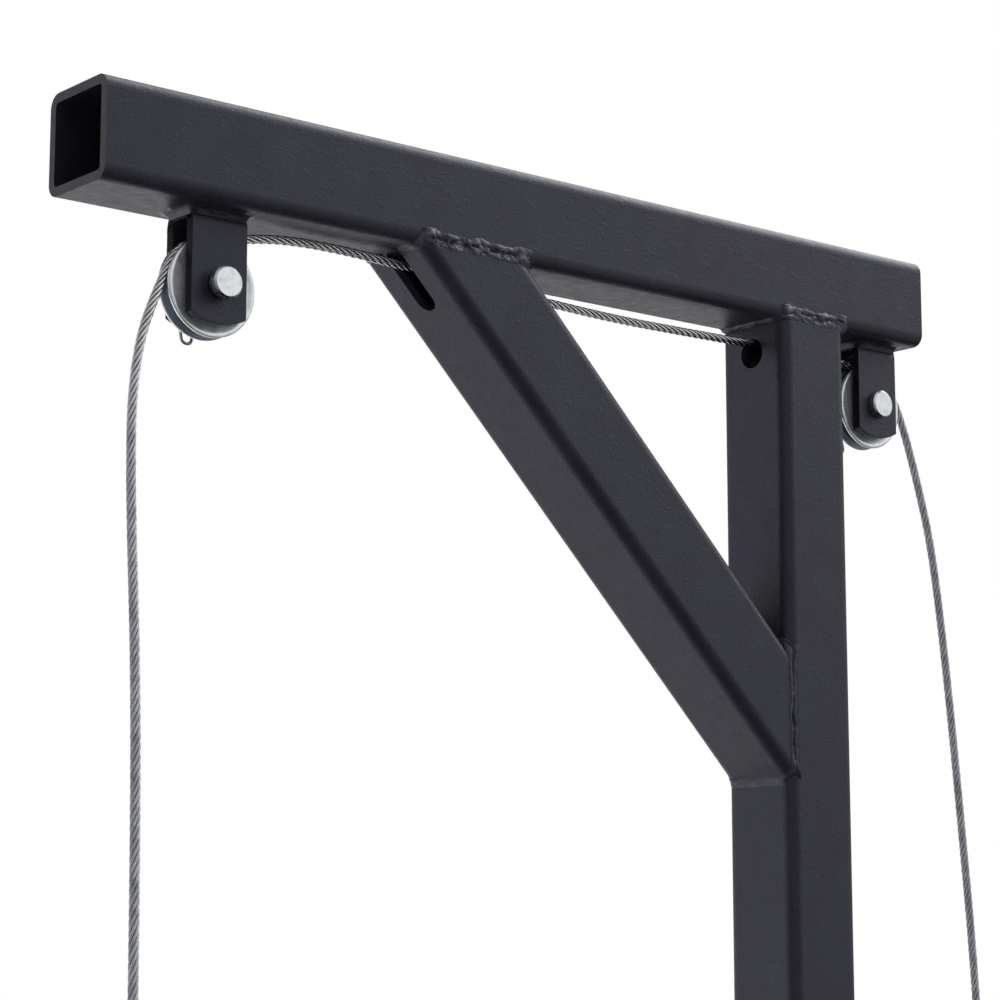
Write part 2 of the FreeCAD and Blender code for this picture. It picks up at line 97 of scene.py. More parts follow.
# ---- helpers ----------------------------------------------------------------------
def add_mesh(name, verts, faces, material, smooth=True):
    mesh = bpy.data.meshes.new(name)
    mesh.from_pydata([tuple(v) for v in verts], [], faces)
    mesh.update()
    obj = bpy.data.objects.new(name, mesh)
    bpy.context.scene.collection.objects.link(obj)
    if smooth:
        mesh.shade_smooth()
    mesh.materials.append(material)
    return obj


def outward(obj):
    """Turns all faces outward."""
    bm = bmesh.new()
    bm.from_mesh(obj.data)
    bmesh.ops.recalc_face_normals(bm, faces=bm.faces)
    bm.to_mesh(obj.data)
    bm.free()
    return obj


def spline_points(route):
    """Points of the smooth line that has the route as its control points."""
    curve = bpy.data.curves.new("route", "CURVE")
    curve.dimensions = "3D"
    spline = curve.splines.new("NURBS")
    spline.points.add(len(route) - 1)
    for point, place in zip(spline.points, route):
        point.co = (*place, 1)
    spline.order_u = 3
    spline.use_endpoint_u = True
    spline.resolution_u = 16
    holder = bpy.data.objects.new("route", curve)
    bpy.context.scene.collection.objects.link(holder)
    mesh = bpy.data.meshes.new_from_object(holder)
    points = [v.co.copy() for v in mesh.vertices]
    bpy.data.objects.remove(holder)
    bpy.data.meshes.remove(mesh)
    bpy.data.curves.remove(curve)
    return points


def even_steps(points, step):
    """The same line in equal steps of about that length, and its whole length."""
    lengths = [0.0]
    for a, b in zip(points, points[1:]):
        lengths.append(lengths[-1] + (b - a).length)
    total = lengths[-1]
    count = max(2, round(total / step))
    result = []
    i = 0
    for k in range(count + 1):
        want = total * k / count
        while i < len(points) - 2 and lengths[i + 1] < want:
            i += 1
        run = lengths[i + 1] - lengths[i]
        share = (want - lengths[i]) / run if run > 0 else 0
        result.append(points[i].lerp(points[i + 1], share))
    return result, total


def frames_along(points):
    """(normal, binormal) at each point, starting near +Y and carried along without twist."""
    tangents = []
    for i in range(len(points)):
        a = points[max(i - 1, 0)]
        b = points[min(i + 1, len(points) - 1)]
        tangents.append((b - a).normalized())
    normal = Vector((0, 1, 0))
    result = []
    for tangent in tangents:
        normal = (normal - tangent * normal.dot(tangent)).normalized()
        result.append((normal, tangent.cross(normal)))
    return result


def loft(rings, closed_ends=True):
    """Vertices and faces of a tube through equal rings of points."""
    size = len(rings[0])
    verts = [v for ring in rings for v in ring]
    faces = []
    for i in range(len(rings) - 1):
        for k in range(size):
            a, b = i * size + k, i * size + (k + 1) % size
            faces.append((a, b, b + size, a + size))
    if closed_ends:
        faces.append(tuple(range(size))[::-1])
        last = (len(rings) - 1) * size
        faces.append(tuple(range(last, last + size)))
    return verts, faces


def lathe(name, profile, centre, material, segments):
    """Closed profile of (radius, y) points turned about the sheave axis through centre."""
    rings = []
    for k in range(segments):
        angle = 2 * math.pi * k / segments
        c, s = math.cos(angle), math.sin(angle)
        rings.append([Vector((centre.x + r * c, centre.y + y, centre.z + r * s))
                      for r, y in profile])
    size = len(profile)
    verts = [v for ring in rings for v in ring]
    faces = []
    for i in range(segments):
        j = (i + 1) % segments
        for k in range(size):
            n = (k + 1) % size
            faces.append((i * size + k, i * size + n, j * size + n, j * size + k))
    return outward(add_mesh(name, verts, faces, material))


# ---- materials --------------------------------------------------------------------
def new_material(name, base, metallic, roughness):
    material = bpy.data.materials.new(name)
    material.use_nodes = True
    shader = material.node_tree.nodes["Principled BSDF"]
    shader.inputs["Base Color"].default_value = (*base, 1)
    shader.inputs["Metallic"].default_value = metallic
    shader.inputs["Roughness"].default_value = roughness
    return material, material.node_tree, shader


def object_noise(tree, scale, detail=3.0, stretch=(1, 1, 1), roughness=0.5):
    """Noise in the piece's own coordinates, with features about 1 / scale metres wide."""
    place = tree.nodes.new("ShaderNodeTexCoord")
    mapping = tree.nodes.new("ShaderNodeMapping")
    mapping.inputs["Scale"].default_value = stretch
    texture = tree.nodes.new("ShaderNodeTexNoise")
    texture.inputs["Scale"].default_value = scale
    texture.inputs["Detail"].default_value = detail
    texture.inputs["Roughness"].default_value = roughness
    tree.links.new(place.outputs["Object"], mapping.inputs["Vector"])
    tree.links.new(mapping.outputs["Vector"], texture.inputs["Vector"])
    return texture.outputs["Fac"]


def object_axis(tree, axis):
    """One of the piece's own coordinates."""
    place = tree.nodes.new("ShaderNodeTexCoord")
    axes = tree.nodes.new("ShaderNodeSeparateXYZ")
    tree.links.new(place.outputs["Object"], axes.inputs["Vector"])
    return axes.outputs[axis]


def absolute(tree, value):
    node = tree.nodes.new("ShaderNodeMath")
    node.operation = "ABSOLUTE"
    tree.links.new(value, node.inputs[0])
    return node.outputs["Value"]


def share_between(tree, value, low, high):
    """How far the value has come from low to high, from 0 to 1."""
    node = tree.nodes.new("ShaderNodeMapRange")
    node.inputs["From Min"].default_value = low
    node.inputs["From Max"].default_value = high
    tree.links.new(value, node.inputs["Value"])
    return node.outputs["Result"]


def painted_light_and_shade_mask(tree):
    """What each vertex of a rope or a weld stores: 0 in its gaps, 1 where it stands proud. Their
    materials use it to paint shade into the gaps, and a highlight onto a weld's crowns.
    """
    node = tree.nodes.new("ShaderNodeAttribute")
    node.attribute_name = "crown"
    return node.outputs["Fac"]


def blend(tree, share, low, high):
    """Colour between low, a colour or an output, and high, an output."""
    node = tree.nodes.new("ShaderNodeMix")
    node.data_type = "RGBA"
    tree.links.new(share, node.inputs["Factor"])
    if isinstance(low, tuple):
        node.inputs["A"].default_value = (*low, 1)
    else:
        tree.links.new(low, node.inputs["A"])
    tree.links.new(high, node.inputs["B"])
    return node.outputs["Result"]


def ramp(tree, value, low, high, low_at=0.3, high_at=0.7):
    """Colour ramp between two colours or grey values."""
    node = tree.nodes.new("ShaderNodeValToRGB")
    for element, at, colour in zip(node.color_ramp.elements, (low_at, high_at), (low, high)):
        element.position = at
        element.color = (*colour, 1) if isinstance(colour, tuple) else (colour, colour, colour, 1)
    tree.links.new(value, node.inputs["Fac"])
    return node.outputs["Color"]


def bump(tree, shader, heights):
    """Chains bumps of (height output, strength, distance) into the shader's normal."""
    previous = None
    for height, strength, distance in heights:
        node = tree.nodes.new("ShaderNodeBump")
        node.inputs["Strength"].default_value = strength
        node.inputs["Distance"].default_value = distance
        tree.links.new(height, node.inputs["Height"])
        if previous is not None:
            tree.links.new(previous, node.inputs["Normal"])
        previous = node.outputs["Normal"]
    tree.links.new(previous, shader.inputs["Normal"])


CHARCOAL = (0.0162, 0.0160, 0.0238)
COAT_SHINE = 0.46


def powder_coat(name, roughness=0.40, texture=1.0, grain=(1, 1, 1)):
    """Charcoal powder coat: fine orange peel, small pimples and slow changes of gloss."""
    material, tree, shader = new_material(name, CHARCOAL, 0, roughness)
    shader.inputs["Specular IOR Level"].default_value = COAT_SHINE
    shader.inputs["Specular Tint"].default_value = (0.83, 0.83, 1.0, 1)
    colour = ramp(tree, object_noise(tree, 45), tuple(0.8 * c for c in CHARCOAL),
                  tuple(1.2 * c for c in CHARCOAL))
    tree.links.new(colour, shader.inputs["Base Color"])
    gloss = ramp(tree, object_noise(tree, 180), roughness - 0.04, roughness + 0.05)
    tree.links.new(gloss, shader.inputs["Roughness"])
    peel = object_noise(tree, 700, detail=3)
    pimples = ramp(tree, object_noise(tree, 380, detail=4, stretch=grain, roughness=0.6),
                   0.0, 1.0, 0.54, 0.72)
    bump(tree, shader, [(peel, 0.6 * texture, 0.3 * MM), (pimples, 0.45 * texture, 0.2 * MM)])
    return material


def weld_paint(name):
    """The same powder coat over a weld, glossier, with painted shade in its hollows and a painted
    highlight where it stands proud.
    """
    material = powder_coat(name, roughness=0.30, texture=0.5)
    tree = material.node_tree
    shader = tree.nodes["Principled BSDF"]
    # Painted shade and highlight: near black in the weld's hollows, lighter on its crowns.
    colour = ramp(tree, painted_light_and_shade_mask(tree), (0.013, 0.013, 0.019), (0.066, 0.067, 0.083), 0, 1)
    tree.links.new(colour, shader.inputs["Base Color"])
    return material


def shaded_bracket_coat(name):
    """The same powder coat, with painted shade on the flat bar's edges, which face along the
    beam: a near-black colour and less specular there.
    """
    material = powder_coat(name)
    tree = material.node_tree
    shader = tree.nodes["Principled BSDF"]
    place = tree.nodes.new("ShaderNodeTexCoord")
    axes = tree.nodes.new("ShaderNodeSeparateXYZ")
    tree.links.new(place.outputs["Normal"], axes.inputs["Vector"])
    along = absolute(tree, axes.outputs["X"])
    # Painted shade: faces turned along the beam get a near-black colour and a lower specular
    # level.
    colour = ramp(tree, along, (0.0155, 0.0155, 0.0232), (0.006, 0.006, 0.008), 0.8, 0.95)
    tree.links.new(colour, shader.inputs["Base Color"])
    shine = ramp(tree, along, COAT_SHINE, 0.08, 0.8, 0.95)
    tree.links.new(shine, shader.inputs["Specular IOR Level"])
    return material


def zinc(name, base, roughness):
    """Zinc-plated steel with cloudy plating and fine changes of gloss."""
    material, tree, shader = new_material(name, base, 1, roughness)
    dull = tuple(0.84 * c for c in base)
    colour = ramp(tree, object_noise(tree, 350, detail=4), dull, base, 0.35, 0.6)
    tree.links.new(colour, shader.inputs["Base Color"])
    gloss = ramp(tree, object_noise(tree, 600), roughness - 0.06, roughness + 0.1)
    tree.links.new(gloss, shader.inputs["Roughness"])
    bump(tree, shader, [(object_noise(tree, 1500, detail=2), 0.12, 0.05 * MM)])
    return material


def turned_zinc(name, centre):
    """Zinc plate over lathe-turned steel, with fine rings, and greyer in the rope's groove."""
    material, tree, shader = new_material(name, (0.70, 0.72, 0.74), 0.8, 0.32)
    place = tree.nodes.new("ShaderNodeTexCoord")
    offset = tree.nodes.new("ShaderNodeVectorMath")
    offset.operation = "SUBTRACT"
    offset.inputs[1].default_value = centre
    tree.links.new(place.outputs["Object"], offset.inputs[0])
    flat = tree.nodes.new("ShaderNodeVectorMath")
    flat.operation = "MULTIPLY"
    flat.inputs[1].default_value = (1, 0, 1)
    tree.links.new(offset.outputs["Vector"], flat.inputs[0])
    radius = tree.nodes.new("ShaderNodeVectorMath")
    radius.operation = "LENGTH"
    tree.links.new(flat.outputs["Vector"], radius.inputs[0])
    spread = tree.nodes.new("ShaderNodeCombineXYZ")
    tree.links.new(radius.outputs["Value"], spread.inputs["X"])
    rings = tree.nodes.new("ShaderNodeTexNoise")
    rings.inputs["Scale"].default_value = 3200
    rings.inputs["Detail"].default_value = 3
    tree.links.new(spread.outputs["Vector"], rings.inputs["Vector"])
    clouds = object_noise(tree, 220, detail=4)
    colour = ramp(tree, clouds, (0.72, 0.74, 0.76), (0.88, 0.89, 0.90), 0.35, 0.6)
    axes = tree.nodes.new("ShaderNodeSeparateXYZ")
    tree.links.new(offset.outputs["Vector"], axes.inputs["Vector"])
    beside_groove = share_between(tree, absolute(tree, axes.outputs["Y"]), 2.9 * MM, 3.7 * MM)
    tree.links.new(blend(tree, beside_groove, (0.25, 0.28, 0.33), colour),
                   shader.inputs["Base Color"])
    tree.links.new(ramp(tree, clouds, 0.27, 0.36), shader.inputs["Roughness"])
    bump(tree, shader, [(rings.outputs["Fac"], 0.25, 0.04 * MM), (clouds, 0.1, 0.1 * MM)])
    return material


def rope_wire(name, shaded_below, lit_above):
    """Galvanised wire: lighter and glossier higher up by the sheaves, darker and duller down the
    drops; its change of colour with height is painted light and shade.
    """
    material, tree, shader = new_material(name, (0.8, 0.81, 0.82), 1, 0.3)
    # Painted light and shade by height: the colour goes from grey on the drops to near white by
    # the sheaves, and the wire also grows glossier and more metallic.
    lit_share = share_between(tree, object_axis(tree, "Z"), shaded_below, lit_above)
    patches = object_noise(tree, 140, detail=5, roughness=0.65)
    bright = ramp(tree, patches, (0.85, 0.86, 0.88), (1.0, 1.0, 1.0), 0.34, 0.6)
    dull = ramp(tree, patches, (0.335, 0.345, 0.375), (0.575, 0.585, 0.615), 0.34, 0.6)
    wires = blend(tree, lit_share, dull, bright)
    # Painted shade between the strands: low crown values take the gap colour, near black up high
    # and mid grey lower down.
    gaps = ramp(tree, lit_share, (0.30, 0.305, 0.32), (0.05, 0.05, 0.055), 0, 1)
    tree.links.new(blend(tree, painted_light_and_shade_mask(tree), gaps, wires), shader.inputs["Base Color"])
    tree.links.new(ramp(tree, lit_share, 0.6, 1.0, 0, 1), shader.inputs["Metallic"])
    tree.links.new(ramp(tree, lit_share, 0.6, 0.2, 0, 1), shader.inputs["Roughness"])
    bump(tree, shader, [(object_noise(tree, 2500, detail=1), 0.15, 0.05 * MM)])
    return material


def simple_metal(name, base, roughness):
    """Bare metal with a mottled surface, duller where it is darker."""
    material, tree, shader = new_material(name, base, 1, roughness)
    worn = tuple(0.75 * c for c in base)
    mottle = object_noise(tree, 700, detail=4)
    tree.links.new(ramp(tree, mottle, worn, base, 0.35, 0.6), shader.inputs["Base Color"])
    gloss = ramp(tree, mottle, roughness + 0.1, roughness - 0.03)
    tree.links.new(gloss, shader.inputs["Roughness"])
    bump(tree, shader, [(mottle, 0.15, 0.05 * MM)])
    return material


# ---- wire rope --------------------------------------------------------------------
# The same routes as the rope's solids have, in metres.
LEFT_DROP = [(-0.3846, 0, 0.4209), (-0.3937, 0, 0.4190), (-0.4029, 0, 0.4170),
             (-0.4092, 0, 0.4134), (-0.4141, 0, 0.4079), (-0.4179, 0, 0.3994),
             (-0.4235, 0, 0.3873), (-0.4310, 0, 0.3665), (-0.4353, -0.001, 0.3380),
             (-0.4383, -0.006, 0.3050), (-0.4423, -0.015, 0.2670), (-0.4484, -0.029, 0.2220),
             (-0.4553, -0.043, 0.1720), (-0.4625, -0.056, 0.1170), (-0.4670, -0.064, 0.0680),
             (-0.4680, -0.066, 0.0320)]
SPAN = [(-0.3846, 0, 0.4209), (-0.3720, 0, 0.4235), (-0.3550, 0, 0.4264), (-0.3300, 0, 0.4278),
        (-0.2940, 0, 0.4270), (-0.2465, 0, 0.4243), (-0.1905, 0, 0.4217), (-0.1305, 0, 0.4195),
        (-0.0755, 0, 0.4199), (-0.0270, 0, 0.4206), (0.0050, 0, 0.4205), (0.0270, 0, 0.4201),
        (0.0420, 0, 0.4196), (0.0530, 0, 0.4191)]
RIGHT_DROP = [(0.0530, 0, 0.4191), (0.0623, 0, 0.4186), (0.0709, 0, 0.4181), (0.0762, 0, 0.4166),
              (0.0814, 0, 0.4135), (0.0886, 0, 0.4086), (0.0962, 0, 0.3986), (0.1055, 0, 0.3756),
              (0.1137, 0, 0.3515), (0.1223, 0, 0.3220), (0.1282, 0, 0.2880), (0.1346, 0, 0.2400),
              (0.1406, 0, 0.1850), (0.1466, 0, 0.1260), (0.1512, 0, 0.0780), (0.1540, 0, 0.0320)]
STRANDS = 6
STRAND_STEP = 0.7 * MM
OUTER_WIRES = 6                 # in each strand, round a seventh
POINTS_PER_WIRE = 3
GAP_REACH, CROWN_REACH = 0.66, 0.92    # a strand's gap and crown, in rope radii


def strand_outline():
    """(angle, radius) of a strand's section, with its wires' full depth cut down."""
    outline = []
    for n in range(OUTER_WIRES):
        for k in range(POINTS_PER_WIRE):
            off = math.radians(-30 + 60 * k / POINTS_PER_WIRE)
            reach = 2 * WIRE_R * math.cos(off)
            swell = math.sqrt(max(WIRE_R ** 2 - (2 * WIRE_R * math.sin(off)) ** 2, 0))
            radius = STRAND_R + (reach + swell - STRAND_R) * WIRE_RELIEF
            outline.append((math.radians(60 * n) + off, radius))
    return outline


def rope_mesh(name, points, material, phase=0.0):
    """Six lobed strands laid right-handed round a core, along evenly spaced points."""
    outline = strand_outline()
    along = frames_along(points)
    step = (points[1] - points[0]).length
    verts, faces = [], []

    def add(rings):
        more, quads = loft(rings)
        base = len(verts)
        verts.extend(more)
        faces.extend(tuple(base + i for i in quad) for quad in quads)

    for k in range(STRANDS):
        centres = []
        for i, (point, (normal, binormal)) in enumerate(zip(points, along)):
            angle = phase + 2 * math.pi * (i * step / ROPE_LAY + k / STRANDS)
            outwards = normal * math.cos(angle) + binormal * math.sin(angle)
            centres.append((point + outwards * STRAND_RING, outwards))
        rings = []
        for i, (centre, outwards) in enumerate(centres):
            a = centres[max(i - 1, 0)][0]
            b = centres[min(i + 1, len(centres) - 1)][0]
            tangent = (b - a).normalized()
            outwards = (outwards - tangent * outwards.dot(tangent)).normalized()
            across = tangent.cross(outwards)
            twist = -2 * math.pi * i * step / WIRE_LAY
            rings.append([centre + (outwards * math.cos(t + twist)
                                    + across * math.sin(t + twist)) * r for t, r in outline])
        add(rings)
    core = []
    for point, (normal, binormal) in zip(points, along):
        core.append([point + (normal * math.cos(t) + binormal * math.sin(t)) * STRAND_R
                     for t in (math.pi / 4 * n for n in range(8))])
    add(core)
    obj = add_mesh(name, verts, faces, material)
    mark_crowns(obj, points)
    return obj


def store_crowns(obj, values):
    """Stores each vertex's value, kept between 0 and 1, for the piece's material."""
    marks = obj.data.attributes.new("crown", "FLOAT", "POINT")
    for mark, value in zip(marks.data, values):
        mark.value = min(1.0, max(0.0, value))


def mark_crowns(obj, points):
    """Marks how near the rope's outside each vertex lies: 0 between strands, 1 outside, for the
    painted shade between the strands.
    """
    line = KDTree(len(points))
    for i, point in enumerate(points):
        line.insert(point, i)
    line.balance()
    reach = [line.find(vertex.co)[2] / ROPE_R for vertex in obj.data.vertices]
    store_crowns(obj, [(r - GAP_REACH) / (CROWN_REACH - GAP_REACH) for r in reach])


def make_rope(name, node, route, material, phase=0.0, **facts):
    """One stretch of the rope. Returns the phase at its end."""
    points, length = even_steps(spline_points(route), STRAND_STEP)
    obj = rope_mesh(name, points, material, phase)
    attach(obj, "frame")
    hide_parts(node)
    return phase + 2 * math.pi * length / ROPE_LAY


# ---- rope ends --------------------------------------------------------------------
LEG_HALF = 2.7 * MM             # half the spacing of the two legs in the ferrule
EYE_R = 10.5 * MM               # rope's centre line round the thimble
FERRULE_H = 18 * MM
FERRULE_WALL = 1.7 * MM
FERRULE_LIP = 0.9 * MM          # height of its rounded ends
CRIMPS = (0.22, 0.5, 0.78)      # its pressed bands, as shares of its height
CRIMP_SPREAD = 0.075            # and how far each spreads
EYE_DROP = 26 * MM              # eye's centre, below the ferrule
TAIL = 5 * MM                   # rope's cut end, above the ferrule
TAIL_INSIDE = 4 * MM            # and the start of it, inside
THIMBLE_GROOVE = 2.48 * MM
THIMBLE_BACK = 3.3 * MM


def teardrop(end, radius, top, half_top, count=72):
    """Points of a teardrop below the rope's end: a leg down, round below and a leg up."""
    centre = Vector((end[0] + LEG_HALF, end[1], end[2] - FERRULE_H - EYE_DROP))
    rise = top - centre.z
    span = math.hypot(half_top, rise)
    start = math.atan2(rise, -half_top) + math.acos(radius / span)
    sweep = 2 * (1.5 * math.pi - start)
    arc = []
    for k in range(count + 1):
        angle = start + sweep * k / count
        arc.append(centre + Vector((radius * math.cos(angle), 0, radius * math.sin(angle))))
    left_top = Vector((centre.x - half_top, centre.y, top))
    right_top = Vector((centre.x + half_top, centre.y, top))
    return [left_top] + arc + [right_top]


def make_eye(side, end, material):
    """The rope round its thimble, and the cut tail that shows above the ferrule."""
    loop = teardrop(end, EYE_R, end[2] - FERRULE_H + 2 * MM, LEG_HALF)
    points, _ = even_steps(loop, STRAND_STEP)
    eye = rope_mesh(side + "_rope_eye_strands", points, material)
    foot = Vector((end[0] + 2 * LEG_HALF, end[1], end[2] - TAIL_INSIDE))
    tail = [foot + Vector((0, 0, (TAIL + TAIL_INSIDE) * k / 8)) for k in range(9)]
    stub = rope_mesh(side + "_rope_tail", tail, material)
    for obj in (eye, stub):
        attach(obj, "frame")
    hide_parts(side + "_rope_eye")
    return eye, stub


def make_ferrule(side, end, material):
    """Pressed oval sleeve: three crimps with rounded shoulders between."""
    rings = []
    steps, around = 72, 56
    for i in range(steps + 1):
        t = i / steps
        z = end[2] - FERRULE_H * (1 - t)
        lip = min(t, 1 - t) * FERRULE_H
        rounding = 1 - 0.22 * max(0, 1 - lip / FERRULE_LIP) ** 2
        press = sum(math.exp(-((t - at) / CRIMP_SPREAD) ** 2) for at in CRIMPS)
        half_y = (ROPE_R + FERRULE_WALL) * rounding * (1 - 0.085 * press)
        half_x = (ROPE_R + FERRULE_WALL) * rounding * (1 - 0.02 * press)
        ring = []
        for k in range(around):
            angle = 2 * math.pi * k / around
            shift = LEG_HALF if math.cos(angle) > 0 else -LEG_HALF
            waist = 1 - 0.05 * math.exp(-(math.cos(angle) / 0.35) ** 2)
            ring.append(Vector((end[0] + LEG_HALF + shift * abs(math.cos(angle)) ** 0.5
                                + half_x * math.cos(angle),
                                end[1] + half_y * math.sin(angle) * waist, z)))
        rings.append(ring)
    verts, faces = loft(rings)
    obj = outward(add_mesh(side + "_ferrule_pressed", verts, faces, material))
    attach(obj, "frame")
    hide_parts(side + "_ferrule")
    return obj


def make_thimble(side, end, material):
    """Channel-section steel strip bent to a teardrop, with its two toes side by side."""
    top = end[2] - FERRULE_H - 4 * MM
    inner = teardrop(end, EYE_R, top, 2.2 * MM, count=96)
    points, _ = even_steps(inner, 0.5 * MM)
    middle = Vector((end[0] + LEG_HALF, end[1], end[2] - FERRULE_H - EYE_DROP))
    groove = [(THIMBLE_GROOVE, degrees) for degrees in range(-100, 101, 20)]
    back = [(THIMBLE_BACK, degrees) for degrees in range(100, -101, -20)]
    across = Vector((0, 1, 0))
    rings = []
    for i, point in enumerate(points):
        a, b = points[max(i - 1, 0)], points[min(i + 1, len(points) - 1)]
        tangent = (b - a).normalized()
        inwards = tangent.cross(across)
        if inwards.dot(middle - point) < 0:
            inwards = -inwards
        ring = []
        for r, degrees in groove + back:
            t = math.radians(degrees)
            ring.append(point + (inwards * math.cos(t) + across * math.sin(t)) * r)
        rings.append(ring)
    verts, faces = loft(rings)
    obj = outward(add_mesh(side + "_thimble_strip", verts, faces, material))
    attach(obj, "frame")
    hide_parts(side + "_thimble")
    return obj


# ---- welds ------------------------------------------------------------------------
# A weld runs round a member that stands on a tube's wall. Its local axes are a (along the
# tube), y (across the tube) and c (out from the wall).
WELD_STEP = 0.4 * MM            # between points along a weld
WELD_ACROSS = 18                # points across it
CROWN_HEIGHT = 1.2 * MM         # a weld's height at which its colour is painted lightest, as a painted highlight
TOE_WANDER = 1.1 * MM           # how far its lower edge strays
TOE_SUNK = 0.35 * MM            # its edges, below the steel's surface
BACK_SUNK = 2.2 * MM            # and its back
RUN_OUT = 3 * MM                # how soon an open end tapers off
JOIN = 6 * MM                   # how far back a closed run blends into its start
TUBE_CORNER = 7 * MM
CORNER_STEPS = 24
ON_BEAM = (Vector((0, 0, UNDERSIDE)), Vector((1, 0, 0)), Vector((0, 0, -1)))
ON_POST = (Vector((-TUBE_HALF, 0, 0)), Vector((0, 0, 1)), Vector((-1, 0, 0)))


def rounded_outline(half_a, half_y, corner_a, corner_y):
    """Points round a rounded rectangle with their outward normals, as (a, y, na, ny)."""
    dense = []
    for quarter, (sa, sy) in enumerate(((1, 1), (-1, 1), (-1, -1), (1, -1))):
        for k in range(CORNER_STEPS + 1):
            t = math.radians(90 * quarter + 90 * k / CORNER_STEPS)
            dense.append((sa * (half_a - corner_a) + corner_a * math.cos(t),
                          sy * (half_y - corner_y) + corner_y * math.sin(t),
                          math.cos(t), math.sin(t)))
    dense.append(dense[0])
    middle = (dense[0][0], 0, 1, 0)
    dense = [middle] + dense[:-1] + [middle]
    result = []
    for p, q in zip(dense, dense[1:]):
        run = math.hypot(q[0] - p[0], q[1] - p[1])
        count = max(1, round(run / WELD_STEP))
        for k in range(count):
            result.append(tuple(u + (v - u) * k / count for u, v in zip(p, q)))
    return result


def wall_depth(y):
    """How far the tube's rounded corner has fallen back from its wall at y."""
    past = min(max(abs(y) - (TUBE_HALF - TUBE_CORNER), 0), TUBE_CORNER)
    return TUBE_CORNER - math.sqrt(TUBE_CORNER ** 2 - past ** 2)


def weld_toes(spot, size, slope, flush):
    """(toe on the wall, toe on the member, outward direction), all in local axes."""
    a, y, na, ny = spot
    up_wall, out_wall, up_member = size
    wall = Vector((a + na * out_wall, y + ny * out_wall, -wall_depth(y + ny * out_wall)))
    outward_way = Vector((na, ny, 1)).normalized()
    if flush:
        share = abs(ny) ** 3
        front = Vector((a, math.copysign(TUBE_HALF, y), -up_wall))
        wall = wall.lerp(front, share)
        outward_way = outward_way.lerp(Vector((0, math.copysign(1, y), 0)), share).normalized()
    member = Vector((a + slope * up_member, y, up_member))
    return wall, member, outward_way


def ripple(s, length, across, seed):
    """Smooth noise with features of about that length along the weld."""
    return noise.noise(Vector((s / length, across, seed)))


def weld_height(s, u, seed):
    """Two wavy ridges with a broken crease between them, lumps and a few sharp folds.

    s is the distance along the weld, and u runs from 0 to 1 across it.
    """
    wander = ripple(s, 9 * MM, seed, 0.5)
    swell = 0.3 + 0.5 * ripple(s, 14 * MM, 1.7, seed + 3)
    ridges = -swell * math.cos(2 * math.pi * (1.8 * (u - 0.5) + 0.42 * wander))
    lumps = 0.65 * ripple(s, 8 * MM, 1.3 * u, seed)
    folds = 0.45 * ripple(s, 4 * MM, 4.2 * u, seed + 9)
    gap = abs(u - 0.5 - 0.28 * wander) / 0.07
    broken = max(0, ripple(s, 4 * MM, 3.3, seed + 5) + 0.25)
    crease = -1.1 * max(0, 1 - gap) * min(1, 2.5 * broken)
    line = abs(ripple(s, 8 * MM, 2.6 * u, seed + 17))
    split = -0.6 * max(0, 1 - line / 0.06)
    return math.sin(math.pi * u) ** 0.9 * (ridges + lumps + folds + crease + split) * MM


def weld_run(spots, wall_axes, size, crown, rough, seed, slope=0, flush=True, open_ends=False):
    """Rings of points across the weld at each spot along it, and how proud each point is.

    size is the weld's reach up the tube's rounded side, out along its wall and up the member.
    A flush member is as wide as the tube. slope is how far the member leans along the tube.
    """
    origin, along_axis, out_axis = wall_axes
    rings, crowns = [], []
    count = len(spots)
    for i, spot in enumerate(spots):
        s = i * WELD_STEP
        wall, member, way = weld_toes(spot, size, slope, flush)
        shift = TOE_WANDER * ripple(s, 6 * MM, 7.7, seed)
        wall = wall + (wall - member).normalized() * shift
        grown = 1.0
        if open_ends:
            near = min(i, count - 1 - i) * WELD_STEP / RUN_OUT
            grown = math.sqrt(1 - max(0, 1 - near) ** 2)
            middle = (wall + member) / 2
            wall = middle.lerp(wall, 0.3 + 0.7 * grown)
            member = middle.lerp(member, 0.3 + 0.7 * grown)
        fresh = 1.0 if open_ends else min(1.0, (count - i) * WELD_STEP / JOIN)
        local_rough = rough * (0.3 + 0.7 * abs(spot[3]))
        ring = []
        for k in range(WELD_ACROSS):
            u = k / (WELD_ACROSS - 1)
            height = weld_height(s, u, seed)
            if fresh < 1:
                start = weld_height(0, u, seed)
                height = start + (height - start) * fresh
            height = height * local_rough + crown * math.sin(math.pi * u)
            lift = height * grown - TOE_SUNK * (1 - math.sin(math.pi * u))
            ring.append(wall.lerp(member, u) + way * lift)
            crowns.append(height / CROWN_HEIGHT)
        for u in (0.85, 0.15):
            ring.append(wall.lerp(member, u) - way * BACK_SUNK)
            crowns.append(0)
        rings.append([origin + along_axis * p.x + Vector((0, p.y, 0)) + out_axis * p.z
                      for p in ring])
    return rings, not open_ends, crowns


def add_weld(name, runs, material, replaced):
    """One piece from its runs of (rings, closed on itself, crowns)."""
    verts, faces, marks = [], [], []
    for rings, cyclic, crowns in runs:
        marks.extend(crowns)
        base = len(verts)
        size = len(rings[0])
        more, quads = loft(rings + [rings[0]] if cyclic else rings, closed_ends=not cyclic)
        last = base + len(rings) * size
        verts.extend(more[:len(rings) * size])
        for quad in quads:
            faces.append(tuple(base + i if base + i < last else base + i - len(rings) * size
                               for i in quad))
    obj = outward(add_mesh(name, verts, faces, material))
    store_crowns(obj, marks)
    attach(obj, "frame")
    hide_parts(replaced)


def moved(spots, a):
    """The same outline, a further along the tube."""
    return [(spot[0] + a, *spot[1:]) for spot in spots]


